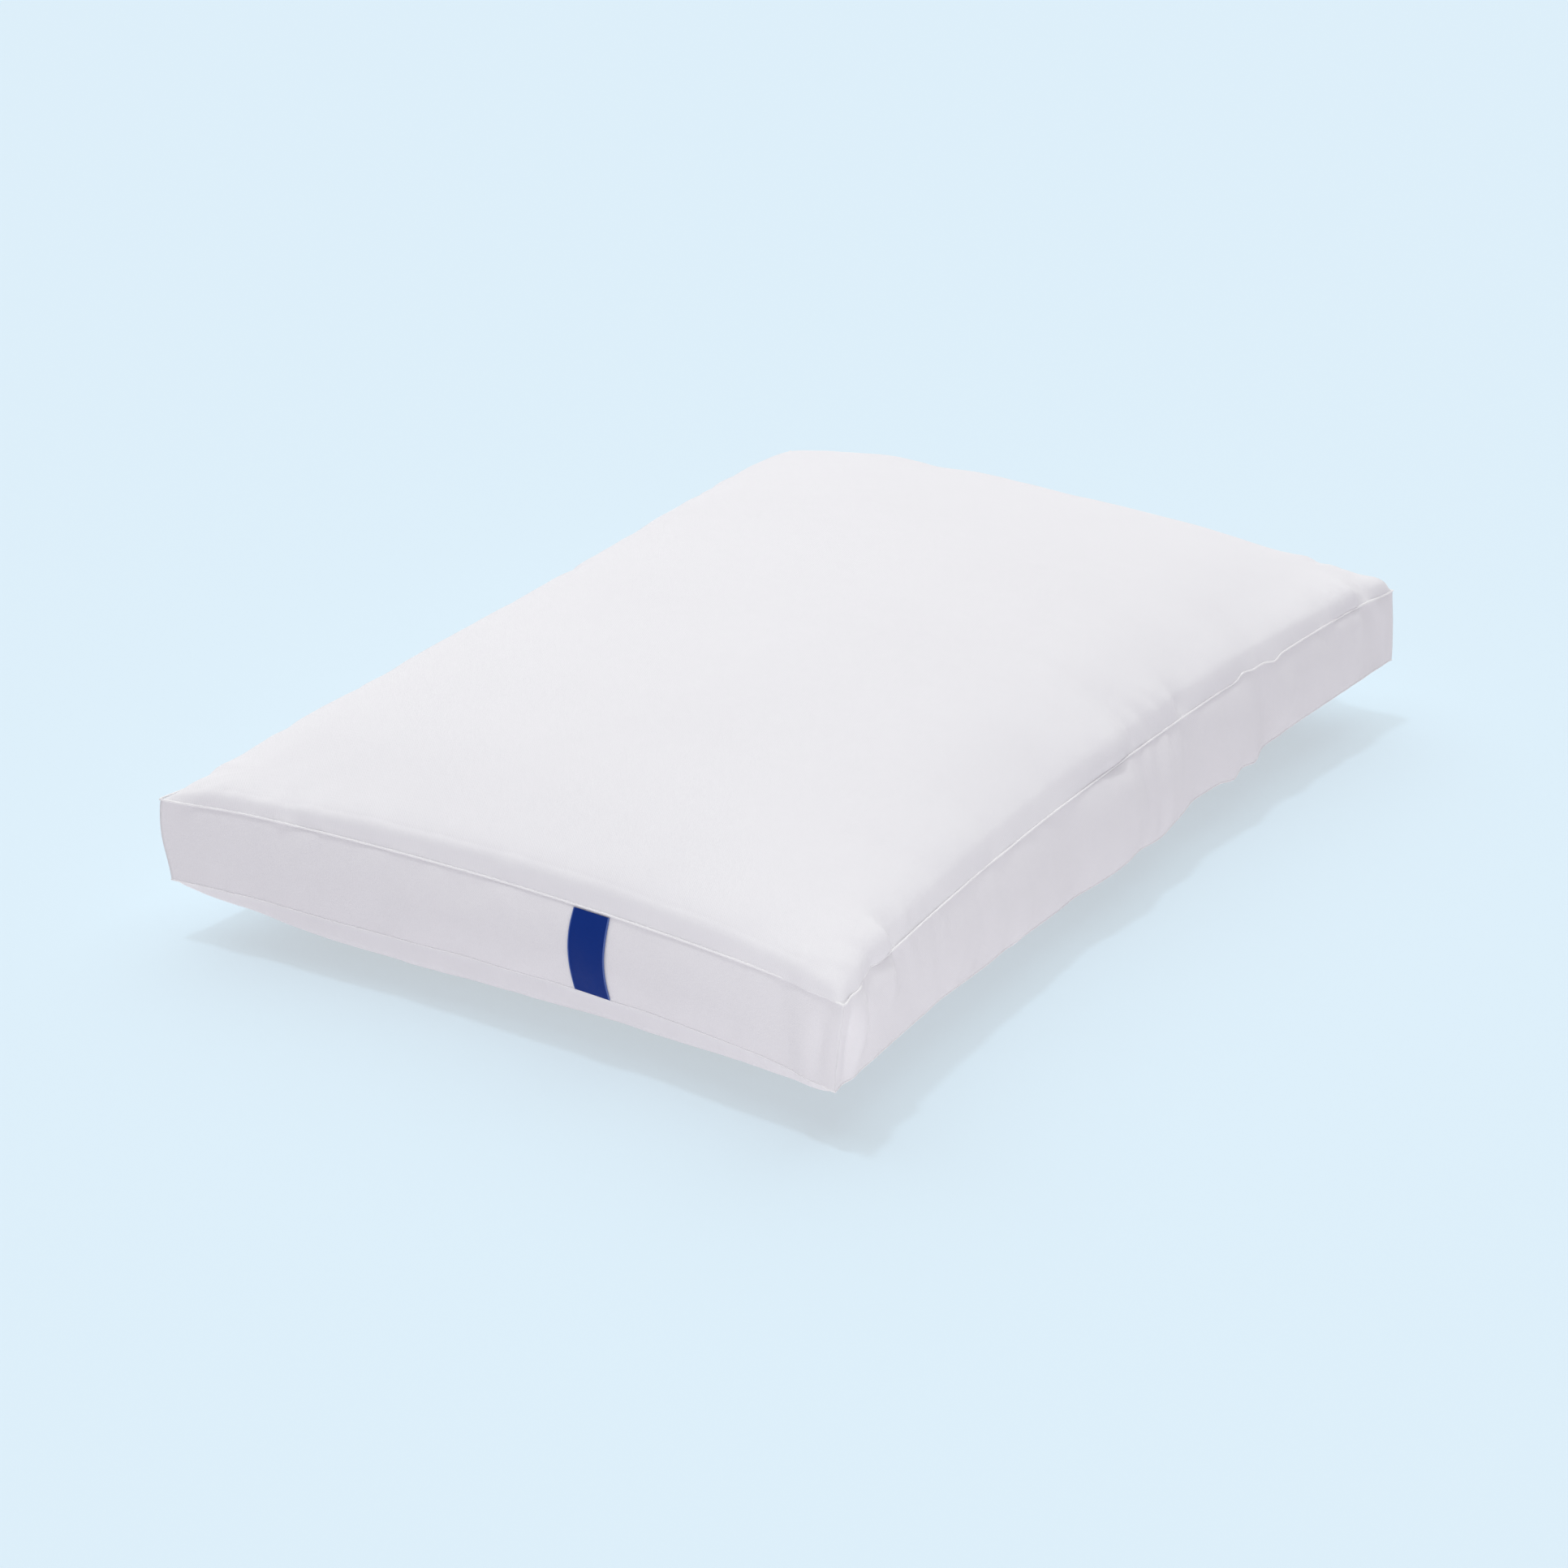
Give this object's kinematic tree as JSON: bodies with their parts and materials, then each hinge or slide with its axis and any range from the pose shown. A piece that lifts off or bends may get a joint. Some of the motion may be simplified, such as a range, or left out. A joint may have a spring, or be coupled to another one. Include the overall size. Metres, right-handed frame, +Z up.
{
  "type": "bed pillow",
  "caption": "Rectangular gusseted bed pillow with corded seams, a removable inner pillow, a plain woven end label, and a zip with a sliding runner and a hinged pull in the far end.",
  "frame": {"origin": "the middle of the pillow's footprint on the surface that it rests on", "axes": "+Z up out of the top panel; +Y along the long side, from the labelled end to the zip end; +X along the short side, with the labelled end facing the viewer and +X to the right"},
  "size_m": [0.4604, 0.6668, 0.1406],
  "materials": {
    "cover_cloth": "matte",
    "gusset_cloth": "matte",
    "piping_cloth": "matte",
    "woven_label": "satin",
    "care_label": "satin",
    "zip_tape": "matte",
    "zip_coil": "satin",
    "zip_metal": "satin",
    "fibre_fill": "matte",
    "lining_cloth": "matte",
    "inner_cover_cloth": "matte"
  },
  "bodies": {
    "pillow": {"top_panel": "cover_cloth", "bottom_panel": "cover_cloth", "gusset_main_strip": "gusset_cloth", "gusset_corner_strip": "gusset_cloth", "gusset_zip_strip_upper": "gusset_cloth", "gusset_zip_strip_lower": "gusset_cloth", "top_piping": "piping_cloth", "bottom_piping": "piping_cloth", "woven_label": "woven_label", "care_label": "care_label", "zip_tape_upper": "zip_tape", "zip_tape_lower": "zip_tape", "zip_coil_upper": "zip_coil", "zip_coil_lower": "zip_coil", "zip_closed_end_stops": "zip_metal", "zip_open_end_stop": "zip_metal", "outer_fill_top": "fibre_fill", "outer_fill_bottom": "fibre_fill", "lining_top": "lining_cloth", "lining_bottom": "lining_cloth", "inner_cover_top": "inner_cover_cloth", "inner_cover_bottom": "inner_cover_cloth", "inner_fill": "fibre_fill"},
    "zip_slider": {"zip_slider": "zip_metal"},
    "zip_pull": {"zip_pull": "zip_metal"}
  },
  "joints": [
    {"name": "zip_slide", "type": "slide", "parent": "pillow", "child": "zip_slider", "axis": [-1, 0, 0], "range_m": [0, 0.3604]},
    {"name": "zip_pull_swing", "type": "hinge", "parent": "zip_slider", "child": "zip_pull", "pos_m": [0.1802, 0.333, 0.0645], "axis": [0, 0, -1], "range_deg": [0, 170]}
  ]
}
